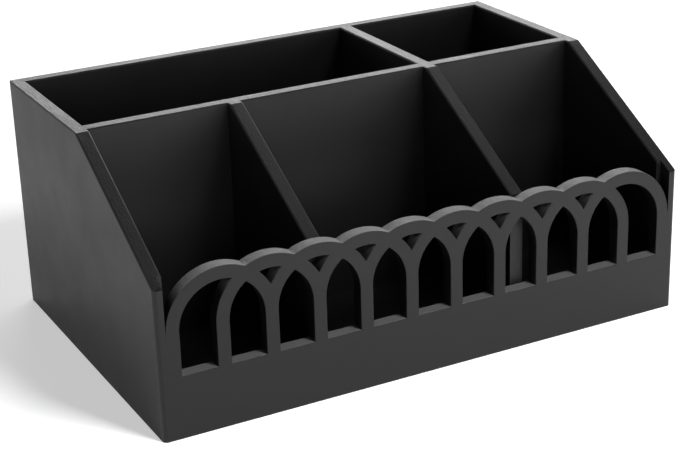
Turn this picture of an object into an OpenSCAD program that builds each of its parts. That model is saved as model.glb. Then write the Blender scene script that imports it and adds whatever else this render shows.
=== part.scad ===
// Coffee station organizer: a black painted wooden box, open at the top, with five bays and an
// openwork front board. The frame has X to the right, Y to the back and Z up, with its origin
// under the middle of the box. Inside the modules, y is counted from the front face.

/* [Case] */
// Width over both sides
case_w = 320; // [280:5:400]
// Depth from the front face to the back face
case_d = 210; // [190:5:260]
// Height at the back
case_h = 138; // [120:1:180]
// Height of the front edge of each side
front_edge_h = 84; // [60:1:100]
// How far the slope of the sides runs back from the front
slope_run = 97; // [80:1:100]
// Thickness of the sides and the back
board_t = 8; // [6:0.5:12]

/* [Bays] */
// Depth of the two rear bays
rear_bay_d = 94; // [70:1:94]
// Width of the left front bay
left_bay_w = 81; // [60:1:100]
// Width of the right front bay and of the rear bay behind it
right_bay_w = 91; // [70:1:110]
// Thickness of the dividers
divider_t = 8; // [5:0.5:10]

/* [Bottom] */
// Thickness of the bottom panel
bottom_t = 5; // [3:0.5:8]
// Height of the bottom panel's underside above the table
bottom_recess = 4; // [2:0.5:8]

/* [Front board] */
// Thickness of the front board
front_t = 8; // [6:0.5:12]
// Height of the solid strip under the openwork
strip_h = 35; // [30:1:42]
// Height of the openwork above the strip
fret_rise = 55; // [48:1:64]
// Width of every bar and arch of the openwork
stroke_w = 7.5; // [5:0.5:10]
// Number of spaces between the uprights
fret_bays = 11; // [9:1:15]

/* [Joints] */
// Depth of every rabbet, dado and groove
housing_d = 3; // [2:0.5:4]
// Room on each cheek of a housed divider and round the bottom panel
cheek_gap = 0.1; // [0.05:0.05:0.3]

/* [Edges] */
// Radius of the two upright front corners
front_corner_r = 2.5; // [1:0.5:4]
// Radius of the two upright back corners
back_corner_r = 3; // [1:0.5:4]
// Radius of the eased edges round every rim
arris_r = 1; // [0.5:0.1:1.5]
// Radius of the nose where each side's slope meets its front edge
nose_r = 2; // [1:0.5:4]

/* [Brads] */
// Shank diameter of a brad
brad_d = 1.2; // [1:0.1:1.6]
// Length of a brad with its head
brad_l = 25; // [16:1:30]
// Diameter of a brad's head
brad_head_d = 2; // [1.8:0.1:2.4]
// Thickness of a brad's head
brad_head_t = 0.8; // [0.5:0.1:1]
// Depth at which a head is set and filled over
brad_set = 1; // [0.6:0.1:1.5]
// Distance from the end of a joint to its outer brads
brad_inset = 14; // [12:1:20]

/* [Hidden] */
$fn = 64;
past = 3; // how far a cutter runs out of the wood
arris_step = 30; // angle between the facets of an eased edge
nose_facets = 4;
grid = 0.01; // the openwork is laid out on this grid
paint = "#2b2b2d";
steel = "#b4b6b8";

lip_t = board_t - housing_d; // wood left outside a rabbet or dado
inner_x = case_w / 2 - board_t;
housed_x = case_w / 2 - lip_t;
back_y = case_d - board_t;
middle_y0 = back_y - rear_bay_d - divider_t;
middle_y1 = middle_y0 + divider_t;
left_x0 = -inner_x + left_bay_w;
left_x1 = left_x0 + divider_t;
cross_x1 = inner_x - right_bay_w;
cross_x0 = cross_x1 - divider_t;
floor_z = bottom_recess + bottom_t;
lap_z = (floor_z + case_h) / 2;
slope_angle = atan2(case_h - front_edge_h, slope_run);
slope_l = norm([case_h - front_edge_h, slope_run]);
nose_turn = 90 - slope_angle;
nose_z = front_edge_h - nose_r * tan(nose_turn / 2);
fret_pitch = 2 * grid * floor((2 * housed_x - stroke_w) / fret_bays / (2 * grid));
fret_x0 = -(fret_bays * fret_pitch + stroke_w) / 2; // left edge of the first upright
spring_z = strip_h + fret_rise - fret_pitch - stroke_w / 2;

// Evenly spaced places from a to b, with the first and last brad_inset from the ends
function brad_row(a, b, count) =
  [for (i = [0:count - 1]) a + brad_inset + i * (b - a - 2 * brad_inset) / (count - 1)];

// A run of facets with its first and last facet drawn out to twice their length
function drawn_out(points) =
  let (last = len(points) - 1)
  concat(
    [2 * points[0] - points[1]],
    [for (i = [1:last - 1]) points[i]],
    [2 * points[last] - points[last - 1]]
  );

// The facets of an edge eased from a face at x up to a top at z = 0: inward is 1 towards +X
function arris(x, inward) =
  drawn_out([for (a = [0:arris_step:90])
    [x + inward * arris_r * (1 - cos(a)), -arris_r * (1 - sin(a))]]);

// A point of the nose, as [y, z]: 0 is on the front edge and nose_facets on the slope
function nose_point(i) =
  let (a = 180 - nose_turn * i / nose_facets)
  [nose_r * (1 + cos(a)), nose_z + nose_r * sin(a)];

// The facets of the nose, with the first one drawn out past the front edge
function nose() =
  concat([2 * nose_point(0) - nose_point(1)], [for (i = [1:nose_facets]) nose_point(i)]);

function reversed(points) = [for (i = [len(points) - 1:-1:0]) points[i]];

// A block between two opposite corners
module block(low, high) {
  translate(low) cube(high - low);
}

// A tall shape from x0 to x1 whose top edges, at z = 0, are eased
module crowned(x0, x1) {
  left = arris(x0, 1);
  right = arris(x1, -1);
  tail = len(left) - 1;
  polygon(concat(
    [[left[0][0], -2 * case_h]], left, [[left[tail][0], past]],
    [[right[tail][0], past]], reversed(right), [[right[0][0], -2 * case_h]]
  ));
}

// A mouth from x0 to x1 whose rim, at z = 0, is eased
module flared(x0, x1) {
  left = arris(x0, -1);
  right = arris(x1, 1);
  tail = len(left) - 1;
  polygon(concat(left, [[left[tail][0], past], [right[tail][0], past]], reversed(right)));
}

// Extrudes a shape drawn in X and Z along Y
module along_y(y0, y1) {
  translate([0, y1, 0]) rotate([90, 0, 0]) linear_extrude(y1 - y0) children();
}

// Extrudes a shape drawn in Y and Z along X
module along_x(x0, x1) {
  translate([x0, 0, 0]) rotate([90, 0, 90]) linear_extrude(x1 - x0) children();
}

// Puts a shape drawn round the top edge of the slope onto the slope
module on_slope() {
  translate([0, slope_run, case_h]) rotate([slope_angle, 0, 0]) children();
}

// The outline of the box seen from above, with its four rounded corners
module plan() {
  difference() {
    translate([-case_w / 2, 0]) square([case_w, case_d]);
    for (side = [-1, 1]) {
      corner_waste(side, 0, 1, front_corner_r);
      corner_waste(side, case_d, -1, back_corner_r);
    }
  }
}

// What a rounded corner takes off a square one
module corner_waste(side, y, inward, r) {
  translate([side * case_w / 2, y]) scale([-side, inward]) difference() {
    translate([-past, -past]) square(r + past);
    translate([r, r]) circle(r);
  }
}

// The profile of the sides: the slope and its nose, with everything else left long
module profile() {
  polygon(concat(
    [[-past, -past]], nose(),
    [[slope_run, case_h] + past * [slope_run, case_h - front_edge_h] / slope_l],
    [[case_d + past, case_h + past], [case_d + past, -past]]
  ));
}

// The space that the finished box fills, without its bays
module envelope() {
  intersection() {
    linear_extrude(case_h) plan();
    along_x(-case_w, case_w) profile();
    translate([0, 0, case_h]) along_y(-past, case_d + past) crowned(-case_w / 2, case_w / 2);
    translate([0, 0, case_h]) along_x(-case_w, case_w) crowned(-case_d, case_d);
    on_slope() along_y(-2 * case_d, case_d) crowned(-case_w / 2, case_w / 2);
  }
}

// The eased edges round the mouth of a bay
module bay_mouth(x0, x1, y0, y1) {
  translate([0, 0, case_h]) intersection() {
    along_y(y0 - past, y1 + past) flared(x0, x1);
    along_x(x0 - past, x1 + past) flared(y0, y1);
  }
}

// The eased edges down the slope on both sides of a front bay
module slope_mouth(x0, x1) {
  on_slope() along_y(-slope_l - past, 0) flared(x0, x1);
}

module mouths() {
  bay_mouth(-inner_x, cross_x0, middle_y1, back_y);
  bay_mouth(cross_x1, inner_x, middle_y1, back_y);
  for (bay = [[-inner_x, left_x0], [left_x1, cross_x0], [cross_x1, inner_x]]) {
    bay_mouth(bay[0], bay[1], -case_d, middle_y0);
    slope_mouth(bay[0], bay[1]);
  }
}

// One headed brad that points along +Z from the surface it is driven into
module brad() {
  translate([0, 0, brad_set]) {
    cylinder(d = brad_head_d, h = brad_head_t);
    cylinder(d = brad_d, h = brad_l);
  }
}

// Brads driven in from a side: side is -1 for the left and 1 for the right
module side_brads(side) {
  rows = [
    [front_t / 2, brad_row(0, strip_h + bottom_recess, 2)],
    [middle_y0 + divider_t / 2, brad_row(floor_z, case_h, 3)],
    [back_y + board_t / 2, brad_row(0, case_h, 3)]
  ];
  for (row = rows, z = row[1]) {
    translate([side * case_w / 2, row[0], z]) rotate([0, -90 * side, 0]) brad();
  }
}

// Brads driven in from the front into the ends of the two dividers
module front_brads() {
  for (x = [left_x0 + divider_t / 2, cross_x0 + divider_t / 2]) {
    translate([x, 0, (floor_z + strip_h) / 2]) rotate([-90, 0, 0]) brad();
  }
}

// Brads driven in from the back into the end of the cross divider
module back_brads() {
  for (z = brad_row(floor_z, case_h, 3)) {
    translate([cross_x0 + divider_t / 2, case_d, z]) rotate([90, 0, 0]) brad();
  }
}

// Brads driven through the middle divider into the end of the left front divider
module middle_brads() {
  for (z = brad_row(floor_z, case_h, 3)) {
    translate([left_x0 + divider_t / 2, middle_y1, z]) rotate([90, 0, 0]) brad();
  }
}

module case_brads() {
  color(steel) placed() {
    side_brads(-1);
    side_brads(1);
  }
}

module divider_brads() {
  color(steel) placed() {
    front_brads();
    back_brads();
    middle_brads();
  }
}

// Moves a piece from the front face's frame to the part's own frame
module placed() {
  translate([0, -case_d / 2, 0]) children();
}

// A side board with its rabbets, dado and groove; side is -1 for the left and 1 for the right
module side_board(side) {
  difference() {
    intersection() {
      envelope();
      scale([side, 1, 1]) block([inner_x, -past, -past], [case_w, case_d + past, case_h + past]);
    }
    scale([side, 1, 1]) {
      block([0, -past, -past], [housed_x, front_t, case_h]);
      block([0, back_y, -past], [housed_x, case_d + past, case_h + past]);
      block([0, middle_y0 - cheek_gap, floor_z], [housed_x, middle_y1 + cheek_gap, case_h + past]);
      block([0, 0, bottom_recess], [housed_x, case_d - lip_t, floor_z + cheek_gap]);
    }
    mouths();
    side_brads(side);
  }
}

module left_side() {
  color(paint) placed() side_board(-1);
}

module right_side() {
  color(paint) placed() side_board(1);
}

// The back, housed in rabbets at both ends, with a dado and a groove on its inner face
module back_panel() {
  color(paint) placed() difference() {
    intersection() {
      envelope();
      block([-housed_x, back_y, -past], [housed_x, case_d + past, case_h + past]);
    }
    block([cross_x0 - cheek_gap, 0, floor_z], [cross_x1 + cheek_gap, case_d - lip_t, case_h + past]);
    block([-case_w, 0, bottom_recess], [case_w, case_d - lip_t, floor_z + cheek_gap]);
    mouths();
    side_brads(-1);
    side_brads(1);
    back_brads();
  }
}

// The bottom, held in a groove on all four sides
module bottom_panel() {
  reach_x = housed_x - cheek_gap;
  color(paint) placed() block(
    [-reach_x, front_t - housing_d + cheek_gap, bottom_recess],
    [reach_x, case_d - lip_t - cheek_gap, floor_z]
  );
}

// The long divider between the sides: it is slotted from above for the cross divider
module middle_divider() {
  color(paint) placed() difference() {
    block([-housed_x, middle_y0, floor_z], [housed_x, middle_y1, case_h]);
    block([cross_x0 - cheek_gap, 0, lap_z], [cross_x1 + cheek_gap, case_d, case_h + past]);
    block(
      [left_x0 - cheek_gap, 0, floor_z - past],
      [left_x1 + cheek_gap, middle_y0 + housing_d, case_h + past]
    );
    mouths();
    side_brads(-1);
    side_brads(1);
    middle_brads();
  }
}

// The divider from front to back: it is slotted from below where it crosses the middle divider
module cross_divider() {
  color(paint) placed() difference() {
    intersection() {
      envelope();
      block([cross_x0, front_t, floor_z], [cross_x1, case_d - lip_t, case_h + past]);
    }
    block([-case_w, middle_y0 - cheek_gap, -past], [case_w, middle_y1 + cheek_gap, lap_z]);
    mouths();
    front_brads();
    back_brads();
  }
}

// The short divider between the front board and a dado in the middle divider
module left_front_divider() {
  color(paint) placed() difference() {
    intersection() {
      envelope();
      block([left_x0, front_t, floor_z], [left_x1, middle_y0 + housing_d, case_h + past]);
    }
    mouths();
    front_brads();
    middle_brads();
  }
}

// Half a ring that stands on the springing line of the arches
module arch() {
  difference() {
    circle(fret_pitch + stroke_w / 2);
    circle(fret_pitch - stroke_w / 2);
    translate([-case_w, -case_w]) square([2 * case_w, case_w]);
  }
}

// The openwork: an arcade whose round arches cross, each one two bays wide
module arcade() {
  for (i = [0:fret_bays]) {
    translate([fret_x0 + i * fret_pitch, strip_h - past])
      square([stroke_w, spring_z - strip_h + past]);
  }
  for (i = [1:fret_bays - 1]) {
    translate([fret_x0 + stroke_w / 2 + i * fret_pitch, spring_z]) arch();
  }
}

// The front board: a solid strip and, cut from the same board, the arcade above it
module front_board() {
  color(paint) placed() difference() {
    along_y(0, front_t) {
      translate([-housed_x, 0]) square([2 * housed_x, strip_h]);
      arcade();
    }
    block([-case_w, front_t - housing_d, bottom_recess], [case_w, case_d, floor_z + cheek_gap]);
    side_brads(-1);
    side_brads(1);
    front_brads();
  }
}

left_side();
right_side();
back_panel();
bottom_panel();
middle_divider();
cross_divider();
left_front_divider();
front_board();
case_brads();
divider_brads();
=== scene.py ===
import math

import bmesh
import bpy
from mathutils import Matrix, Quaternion, Vector


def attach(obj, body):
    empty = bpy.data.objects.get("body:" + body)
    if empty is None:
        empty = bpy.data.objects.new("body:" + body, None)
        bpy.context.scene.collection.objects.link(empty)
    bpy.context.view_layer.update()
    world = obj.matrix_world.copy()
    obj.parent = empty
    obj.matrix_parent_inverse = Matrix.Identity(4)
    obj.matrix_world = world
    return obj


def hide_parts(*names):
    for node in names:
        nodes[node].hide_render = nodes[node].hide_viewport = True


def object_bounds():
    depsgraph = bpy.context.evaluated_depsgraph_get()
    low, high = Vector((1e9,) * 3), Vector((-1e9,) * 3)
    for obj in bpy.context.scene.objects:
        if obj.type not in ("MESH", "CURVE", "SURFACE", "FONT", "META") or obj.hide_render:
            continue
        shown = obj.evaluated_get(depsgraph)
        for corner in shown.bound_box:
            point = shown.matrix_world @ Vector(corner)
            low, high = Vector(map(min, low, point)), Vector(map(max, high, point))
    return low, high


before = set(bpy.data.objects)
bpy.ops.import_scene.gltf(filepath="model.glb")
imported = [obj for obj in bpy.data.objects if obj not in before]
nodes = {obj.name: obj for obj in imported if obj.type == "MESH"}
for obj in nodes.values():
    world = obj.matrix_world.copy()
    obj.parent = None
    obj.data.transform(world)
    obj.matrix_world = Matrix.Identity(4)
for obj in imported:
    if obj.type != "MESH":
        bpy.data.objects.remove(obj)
cadLow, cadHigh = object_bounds()
mm = 0.001
noiseLow, noiseHigh = 0.3, 0.7      # most of a noise texture's values lie between these
print("frame loaded:", len(nodes), "nodes")


def toLinear(hexColour):
    # sRGB hex, such as "1c1c1e", to the linear colour that a shader takes
    parts = [int(hexColour[i:i + 2], 16) / 255 for i in (0, 2, 4)]
    return [c / 12.92 if c <= 0.04045 else ((c + 0.055) / 1.055) ** 2.4 for c in parts] + [1]


def addNode(tree, kind, settings=None, links=None):
    # settings: a property's name or an input's name or number, with its value
    # links: an input's name or number, with the output that feeds it
    node = tree.nodes.new(kind)
    for key, value in (settings or {}).items():
        if isinstance(key, str) and hasattr(node, key):
            setattr(node, key, value)
        else:
            node.inputs[key].default_value = value
    for key, source in (links or {}).items():
        tree.links.new(source, node.inputs[key])
    return node


def newMaterial(name):
    material = bpy.data.materials.new(name)
    material.use_nodes = True
    material.node_tree.nodes.clear()
    return material, material.node_tree


def deselectAll():
    bpy.ops.object.select_all(action="DESELECT")


# where the photograph was taken from, in the part's own frame
cameraValues = {
    "place": (-426.4, -822.0, 421.4),        # mm
    "towards": (0.42524, 0.82396, -0.37453),
    "roll": -1.86,                           # degrees, about the line of sight
    "lens": 90.3,                            # mm
    "sensor": 36.0,                          # mm wide
    "clip": (0.01, 30.0),                    # m, nearest and furthest that it sees
}


def addCamera(values):
    data = bpy.data.cameras.new("camera")
    data.sensor_width = values["sensor"]
    data.lens = values["lens"]
    data.clip_start, data.clip_end = values["clip"]
    camera = bpy.data.objects.new("camera", data)
    bpy.context.scene.collection.objects.link(camera)
    aim = Vector(values["towards"]).to_track_quat("-Z", "Y")
    turn = Quaternion((0, 0, 1), math.radians(values["roll"]))
    camera.rotation_mode = "QUATERNION"
    camera.rotation_quaternion = aim @ turn
    camera.location = Vector(values["place"]) * mm
    bpy.context.scene.camera = camera


addCamera(cameraValues)
print("camera placed")


# a pale floor that keeps the shadow, in a white room
stageValues = {
    "floorSize": 16.0,       # m
    "floorCuts": 7,          # each way
    "floorColour": "e6e6e6",
    "floorLift": 0.49,       # what the camera sees added to the lit floor
    "mirroredLift": 0.35,    # how much of that glossy surfaces see
    "liftNear": 0.5,         # m from the object, where the floor starts to brighten
    "liftFar": 2.2,          # and where it is as white as the room
    "ambient": 0.12,         # what the room gives matt surfaces
    "horizon": 0.8,          # what glossy surfaces see level with them
    "zenith": 0.12,          # and overhead
    "fade": (0.1, 0.45),     # how high the one ends and the other starts, 1 straight up
    "lean": 0.4,             # how much higher that is at the far left, and lower at the far right
}


def addStage(values):
    deselectAll()
    bpy.ops.mesh.primitive_plane_add(size=values["floorSize"], location=(0, 0, 0))
    floor = bpy.context.object
    floor.name = "floor"
    bpy.ops.object.mode_set(mode="EDIT")
    bpy.ops.mesh.subdivide(number_cuts=values["floorCuts"])
    bpy.ops.object.mode_set(mode="OBJECT")
    material, tree = newMaterial("paleFloor")
    place = addNode(tree, "ShaderNodeTexCoord")
    away = addNode(tree, "ShaderNodeVectorMath", {"operation": "LENGTH"}, {0: place.outputs["Object"]})
    lift = addNode(
        tree,
        "ShaderNodeMapRange",
        {
            "interpolation_type": "SMOOTHSTEP",
            "From Min": values["liftNear"],
            "From Max": values["liftFar"],
            "To Min": values["floorLift"],
            "To Max": 1.0,
        },
        {"Value": away.outputs["Value"]},
    )
    rays = addNode(tree, "ShaderNodeLightPath")
    seen = addNode(
        tree,
        "ShaderNodeMath",
        {"operation": "MAXIMUM"},
        {0: rays.outputs["Is Camera Ray"], 1: rays.outputs["Is Transmission Ray"]},
    )
    shown = addNode(
        tree,
        "ShaderNodeMath",
        {"operation": "MULTIPLY_ADD", 1: values["mirroredLift"]},
        {0: rays.outputs["Is Glossy Ray"], 2: seen.outputs[0]},
    )
    strength = addNode(
        tree,
        "ShaderNodeMath",
        {"operation": "MULTIPLY"},
        {0: shown.outputs[0], 1: lift.outputs["Result"]},
    )
    matt = addNode(tree, "ShaderNodeBsdfDiffuse", {"Color": toLinear(values["floorColour"])})
    glow = addNode(tree, "ShaderNodeEmission", {"Color": (1, 1, 1, 1)}, {"Strength": strength.outputs[0]})
    both = addNode(tree, "ShaderNodeAddShader", {}, {0: matt.outputs[0], 1: glow.outputs[0]})
    addNode(tree, "ShaderNodeOutputMaterial", {}, {"Surface": both.outputs[0]})
    floor.data.materials.append(material)


def addWorld(values):
    world = bpy.data.worlds.new("whiteRoom")
    bpy.context.scene.world = world
    world.use_nodes = True
    tree = world.node_tree
    tree.nodes.clear()
    way = addNode(tree, "ShaderNodeTexCoord")
    split = addNode(tree, "ShaderNodeSeparateXYZ", {}, {0: way.outputs["Generated"]})
    leaning = addNode(
        tree,
        "ShaderNodeMath",
        {"operation": "MULTIPLY_ADD", 1: values["lean"]},
        {0: split.outputs["X"], 2: split.outputs["Z"]},
    )
    fadeLow, fadeHigh = values["fade"]
    height = addNode(
        tree,
        "ShaderNodeMapRange",
        {"From Min": fadeLow, "From Max": fadeHigh, "To Min": values["horizon"], "To Max": values["zenith"]},
        {"Value": leaning.outputs[0]},
    )
    rays = addNode(tree, "ShaderNodeLightPath")
    glossy = addNode(
        tree,
        "ShaderNodeMix",
        {"A": values["ambient"]},
        {"Factor": rays.outputs["Is Glossy Ray"], "B": height.outputs["Result"]},
    )
    seen = addNode(
        tree,
        "ShaderNodeMath",
        {"operation": "MAXIMUM"},
        {0: rays.outputs["Is Camera Ray"], 1: rays.outputs["Is Transmission Ray"]},
    )
    strength = addNode(
        tree,
        "ShaderNodeMix",
        {"B": 1.0},
        {"Factor": seen.outputs[0], "A": glossy.outputs["Result"]},
    )
    light = addNode(
        tree,
        "ShaderNodeBackground",
        {"Color": (1, 1, 1, 1)},
        {"Strength": strength.outputs["Result"]},
    )
    addNode(tree, "ShaderNodeOutputWorld", {}, {"Surface": light.outputs[0]})


addStage(stageValues)
addWorld(stageValues)
print("stage laid")


# softboxes, each aimed at the middle of the object: the key lamp from the front right throws the shadow, the
# back lamp lights the floor, the rim and glow lamps shine along the upward edges, and the front lamp reaches
# into the bays
lampValues = {
    # from: degrees round from the front to the right, and up; away and size in m
    "keyLamp": {"from": (22, 43), "away": 1.6, "size": (0.36, 0.36), "watts": 27.0, "unseenBy": "glossy"},
    "backLamp": {"from": (142, 27), "away": 1.6, "size": (1.4, 0.7), "watts": 12.0, "unseenBy": "glossy"},
    "rimLamp": {"from": (151, 11), "away": 1.6, "size": (1.1, 0.45), "watts": 5.0, "unseenBy": "diffuse"},
    "glowLamp": {"from": (148, 32), "away": 1.6, "size": (1.4, 0.6), "watts": 16.0, "unseenBy": "diffuse"},
    "frontLamp": {"from": (25, 11), "away": 1.8, "size": (1.4, 0.5), "watts": 5.0, "unseenBy": "diffuse"},
}


def addLamp(name, values):
    data = bpy.data.lights.new(name, "AREA")
    data.shape = "RECTANGLE"
    data.size, data.size_y = values["size"]
    data.energy = values["watts"]
    lamp = bpy.data.objects.new(name, data)
    bpy.context.scene.collection.objects.link(lamp)
    turn, rise = (math.radians(angle) for angle in values["from"])
    way = Vector((math.sin(turn) * math.cos(rise), -math.cos(turn) * math.cos(rise), math.sin(rise)))
    middle = (cadLow + cadHigh) / 2
    lamp.location = middle + way * values["away"]
    lamp.rotation_mode = "QUATERNION"
    lamp.rotation_quaternion = (-way).to_track_quat("-Z", "Y")
    lamp.visible_camera = False
    setattr(lamp, "visible_" + values["unseenBy"], False)


for name, values in lampValues.items():
    addLamp(name, values)
print("lamps hung")


# satin black paint sprayed over sanded wood: dark and even on the faces, with a soft sheen at a low angle,
# and rougher with lengthwise grain on the edges, where sawn wood drinks it
paintValues = {
    "colour": "0a0a0b",
    "paler": "0e0e0f",       # where the spray lies thinner
    "ior": 1.5,
    "roughness": (0.36, 0.45),
    "cloud": 45.0,           # mm, slow drifts of the spray
    "peel": 1.1,             # mm, the skin of sprayed paint, drawn coarser than the real 0.5 to show
    "peelHeight": 0.03,      # mm
    "grain": (0.9, 9.0),     # mm wide and long, drawn coarser than the real 0.3 to show
    "grainHeight": 0.7,      # mm, drawn deeper than it is to show
    "grainDull": 0.12,       # added to the roughness of an open edge
    # how far up a face looks, 1 straight up, where it begins to count as an upward open edge and where it
    # wholly does; on the routed board these faces also take a painted highlight
    "level": (0.8, 0.98),
    # the edge colour goes on faces that look up; on the routed board it is a painted highlight
    "edge": "0e0e0f",        # colour of an open edge
}
# the cutter leaves the openwork's edges furry, and the paint on them dries dull; their faces that look up
# are also painted much paler, a painted highlight that stands in for light from above and behind
routedPaintedHighlightValues = {**paintValues, "level": (0.5, 0.8), "edge": "5e5e60"}


def satinBlackPaint(name, values, axis):
    # axis: the way that the board's grain runs
    material, tree = newMaterial(name)
    place = addNode(tree, "ShaderNodeTexCoord")
    cloud = addNode(
        tree,
        "ShaderNodeTexNoise",
        {"Scale": 1 / (values["cloud"] * mm), "Detail": 5.0, "Roughness": 0.65},
        {"Vector": place.outputs["Object"]},
    )
    peel = addNode(
        tree,
        "ShaderNodeTexNoise",
        {"Scale": 1 / (values["peel"] * mm), "Detail": 1.0, "Roughness": 0.5},
        {"Vector": place.outputs["Object"]},
    )
    wide, long = values["grain"]
    squeeze = [1 / (wide * mm)] * 3
    squeeze["xyz".index(axis)] = 1 / (long * mm)
    squeezed = addNode(tree, "ShaderNodeMapping", {"Scale": squeeze}, {"Vector": place.outputs["Object"]})
    grain = addNode(
        tree,
        "ShaderNodeTexNoise",
        {"Scale": 1.0, "Detail": 3.0, "Roughness": 0.65},
        {"Vector": squeezed.outputs[0]},
    )
    facing = addNode(tree, "ShaderNodeSeparateXYZ", {}, {0: place.outputs["Normal"]})
    tilted, flat = values["level"]
    upFacingMask = addNode(
        tree,
        "ShaderNodeMapRange",
        {"From Min": tilted, "From Max": flat},
        {"Value": facing.outputs["Z"]},
    )
    faceColour = addNode(
        tree,
        "ShaderNodeMix",
        {"data_type": "RGBA", 6: toLinear(values["colour"]), 7: toLinear(values["paler"])},
        {"Factor": cloud.outputs["Fac"]},
    )
    # faces that look up take the edge colour, which on the routed board is a painted highlight
    colour = addNode(
        tree,
        "ShaderNodeMix",
        {"data_type": "RGBA", 7: toLinear(values["edge"])},
        {"Factor": upFacingMask.outputs["Result"], 6: faceColour.outputs[2]},
    )
    low, high = values["roughness"]
    faceRoughness = addNode(
        tree,
        "ShaderNodeMapRange",
        {"From Min": noiseLow, "From Max": noiseHigh, "To Min": low, "To Max": high},
        {"Value": cloud.outputs["Fac"]},
    )
    openGrain = addNode(
        tree,
        "ShaderNodeMath",
        {"operation": "MULTIPLY"},
        {0: upFacingMask.outputs["Result"], 1: grain.outputs["Fac"]},
    )
    roughness = addNode(
        tree,
        "ShaderNodeMath",
        {"operation": "MULTIPLY_ADD", 1: values["grainDull"]},
        {0: openGrain.outputs[0], 2: faceRoughness.outputs["Result"]},
    )
    skin = addNode(
        tree,
        "ShaderNodeMath",
        {"operation": "MULTIPLY", 1: values["peelHeight"] * mm},
        {0: peel.outputs["Fac"]},
    )
    height = addNode(
        tree,
        "ShaderNodeMath",
        {"operation": "MULTIPLY_ADD", 1: values["grainHeight"] * mm},
        {0: openGrain.outputs[0], 2: skin.outputs[0]},
    )
    relief = addNode(
        tree,
        "ShaderNodeBump",
        {"Strength": 1.0, "Distance": 1.0},
        {"Height": height.outputs[0]},
    )
    surface = addNode(
        tree,
        "ShaderNodeBsdfPrincipled",
        {"IOR": values["ior"]},
        {
            "Base Color": colour.outputs[2],
            "Roughness": roughness.outputs[0],
            "Normal": relief.outputs["Normal"],
        },
    )
    addNode(tree, "ShaderNodeOutputMaterial", {}, {"Surface": surface.outputs[0]})
    return material


paint = {
    "crosswise": satinBlackPaint("satinBlackPaintCrosswise", paintValues, "x"),
    "lengthwise": satinBlackPaint("satinBlackPaintLengthwise", paintValues, "y"),
    "routed": satinBlackPaint("satinBlackPaintRoutedPaintedHighlight", routedPaintedHighlightValues, "x"),
}
print("paint mixed")


# drawn steel wire, of which the brads are cut: bright and grey, with fine flecks that are duller
steelValues = {
    "colour": "b9b7b2",
    "duller": "8d8b87",
    "roughness": (0.25, 0.42),
    "fleck": 0.15,           # mm wide
}


def drawnSteel(values):
    material, tree = newMaterial("drawnSteel")
    place = addNode(tree, "ShaderNodeTexCoord")
    flecks = addNode(
        tree,
        "ShaderNodeTexNoise",
        {"Scale": 1 / (values["fleck"] * mm), "Detail": 2.0, "Roughness": 0.6},
        {"Vector": place.outputs["Object"]},
    )
    colour = addNode(
        tree,
        "ShaderNodeMix",
        {"data_type": "RGBA", 6: toLinear(values["colour"]), 7: toLinear(values["duller"])},
        {"Factor": flecks.outputs["Fac"]},
    )
    low, high = values["roughness"]
    roughness = addNode(
        tree,
        "ShaderNodeMapRange",
        {"From Min": noiseLow, "From Max": noiseHigh, "To Min": low, "To Max": high},
        {"Value": flecks.outputs["Fac"]},
    )
    surface = addNode(
        tree,
        "ShaderNodeBsdfPrincipled",
        {"Metallic": 1.0},
        {"Base Color": colour.outputs[2], "Roughness": roughness.outputs["Result"]},
    )
    addNode(tree, "ShaderNodeOutputMaterial", {}, {"Surface": surface.outputs[0]})
    return material


steel = drawnSteel(steelValues)
for name in ("case_brads", "divider_brads"):
    for slot in nodes[name].material_slots:
        slot.material = steel
print("brads bright")


# the boards keep their solids' shapes, with edges that shine as rounds and not as facets
# the front board's arches are made of short edges, and none of those is a mitre
boardValues = {
    "left_side": {"name": "leftSide", "paint": "lengthwise"},
    "right_side": {"name": "rightSide", "paint": "lengthwise"},
    "middle_divider": {"name": "middleDivider", "paint": "crosswise"},
    "left_front_divider": {"name": "leftFrontDivider", "paint": "lengthwise"},
    "back_panel": {"name": "backPanel", "paint": "crosswise"},
    "cross_divider": {"name": "crossDivider", "paint": "lengthwise"},
    "bottom_panel": {"name": "bottomPanel", "paint": "crosswise"},
    "front_board": {"name": "frontBoard", "paint": "routed", "mitre": 0},
}
shineValues = {
    "merge": 0.002,          # mm, closer corners are one
    "flat": 0.9999,          # how squarely a flat face looks one of its ways, 1 dead square
    "slope": 29.1,           # degrees, of the sides' and dividers' front edges
    "seam": 1.0,             # degrees, a sharper edge between flat faces stays hard
    "mitre": 0.8,            # mm, a shorter edge between facets is where two eased edges meet
    "mitreTurn": 5.0,        # degrees, a sharper one of those stays hard
    "sharp": 46.0,           # degrees, and so does a sharper one of all the others
}
frontBoardValues = {
    "faces": {-105.0: 1, -97.0: -1},     # where its front and back lie, mm, and the way into the wood
    "near": 0.005,                       # mm, a corner this close to a face lies in it
    "ends": 154.9,                       # mm, the outermost edges lie in the sides and stay square
    "foot": 1.0,                         # mm, and so does the lower edge
    "ease": 0.5,                         # mm
}


def placeOf(corner):
    # to a tenth of a micron, to know a corner again when an inset has numbered them anew
    return corner.co.to_tuple(7)


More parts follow.
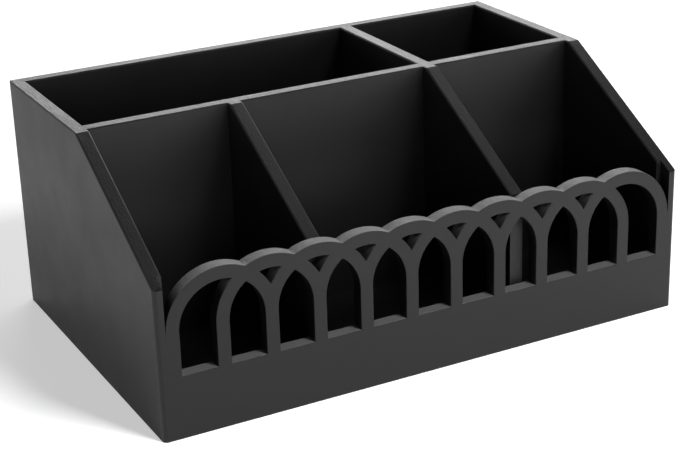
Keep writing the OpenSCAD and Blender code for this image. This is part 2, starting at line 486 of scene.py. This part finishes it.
def easeFace(board, level, inwards, values):
    # two narrow rings are set in, and the outline and the first ring are sunk to a quarter round
    ease = values["ease"]
    diagonal = math.sqrt(0.5)            # the middle of a quarter round, for a radius of 1
    rings = (ease * (1 - diagonal), ease * diagonal)
    bpy.ops.mesh.select_all(action="DESELECT")
    mesh = bmesh.from_edit_mesh(board.data)
    for face in mesh.faces:
        face.select_set(all(abs(corner.co.y / mm - level) < values["near"] for corner in face.verts))
    outline = [edge for edge in mesh.edges if sum(face.select for face in edge.link_faces) == 1]
    outer = {placeOf(corner) for edge in outline for corner in edge.verts}
    bmesh.update_edit_mesh(board.data)
    for width in rings:
        bpy.ops.mesh.inset(thickness=width * mm, depth=0)
    mesh = bmesh.from_edit_mesh(board.data)
    onOutline = []
    onRing = set()
    for corner in mesh.verts:
        free = abs(corner.co.x / mm) < values["ends"] and corner.co.z / mm > values["foot"]
        if free and placeOf(corner) in outer:
            onOutline.append(corner)
    for corner in onOutline:
        for edge in corner.link_edges:
            other = edge.other_vert(corner)
            if placeOf(other) not in outer and abs(other.co.y / mm - level) < values["near"]:
                onRing.add(other)
    for corner in onOutline:
        corner.co.y += inwards * ease * mm
    for corner in onRing:
        corner.co.y += inwards * rings[0] * mm
    bmesh.update_edit_mesh(board.data)


def evenShine(board, values):
    # flat faces lead, and the facets between them turn the shine from one to the next
    slope = math.radians(values["slope"])
    flatWays = [Vector((0, -math.sin(slope), math.cos(slope)))]
    for way in ((1, 0, 0), (0, 1, 0), (0, 0, 1)):
        flatWays += [Vector(way), -Vector(way)]
    mesh = bmesh.from_edit_mesh(board.data)
    for face in mesh.faces:
        face.smooth = True
        face.select_set(any(face.normal.dot(way) > values["flat"] for way in flatWays))
    for edge in mesh.edges:
        flatSides = [face.select for face in edge.link_faces]
        if all(flatSides):
            limit = values["seam"]
        elif not any(flatSides) and edge.calc_length() < values["mitre"] * mm:
            limit = values["mitreTurn"]
        else:
            limit = values["sharp"]
        edge.smooth = math.degrees(edge.calc_face_angle(0)) < limit
    bmesh.update_edit_mesh(board.data)
    bpy.ops.mesh.mod_weighted_strength(set=True, face_strength="STRONG")
    bpy.ops.mesh.select_all(action="INVERT")
    bpy.ops.mesh.mod_weighted_strength(set=True, face_strength="WEAK")
    bpy.ops.object.mode_set(mode="OBJECT")
    shine = board.modifiers.new("evenShine", "WEIGHTED_NORMAL")
    shine.keep_sharp = True
    shine.use_face_influence = True
    bpy.ops.object.modifier_apply(modifier="evenShine")


def makeBoard(node, values):
    board = bpy.data.objects.new(values["name"], nodes[node].data.copy())
    bpy.context.scene.collection.objects.link(board)
    deselectAll()
    bpy.context.view_layer.objects.active = board
    board.select_set(True)
    bpy.ops.object.mode_set(mode="EDIT")
    bpy.ops.mesh.select_mode(type="FACE")
    bpy.ops.mesh.select_all(action="SELECT")
    bpy.ops.mesh.remove_doubles(threshold=shineValues["merge"] * mm)
    if node == "front_board":
        for level, inwards in frontBoardValues["faces"].items():
            easeFace(board, level, inwards, frontBoardValues)
    evenShine(board, {**shineValues, **values})
    board.data.materials.clear()
    board.data.materials.append(paint[values["paint"]])
    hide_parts(node)
    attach(board, "root")


for node, values in boardValues.items():
    makeBoard(node, values)
print("boards made")

bpy.context.scene.view_settings.view_transform = "Standard"
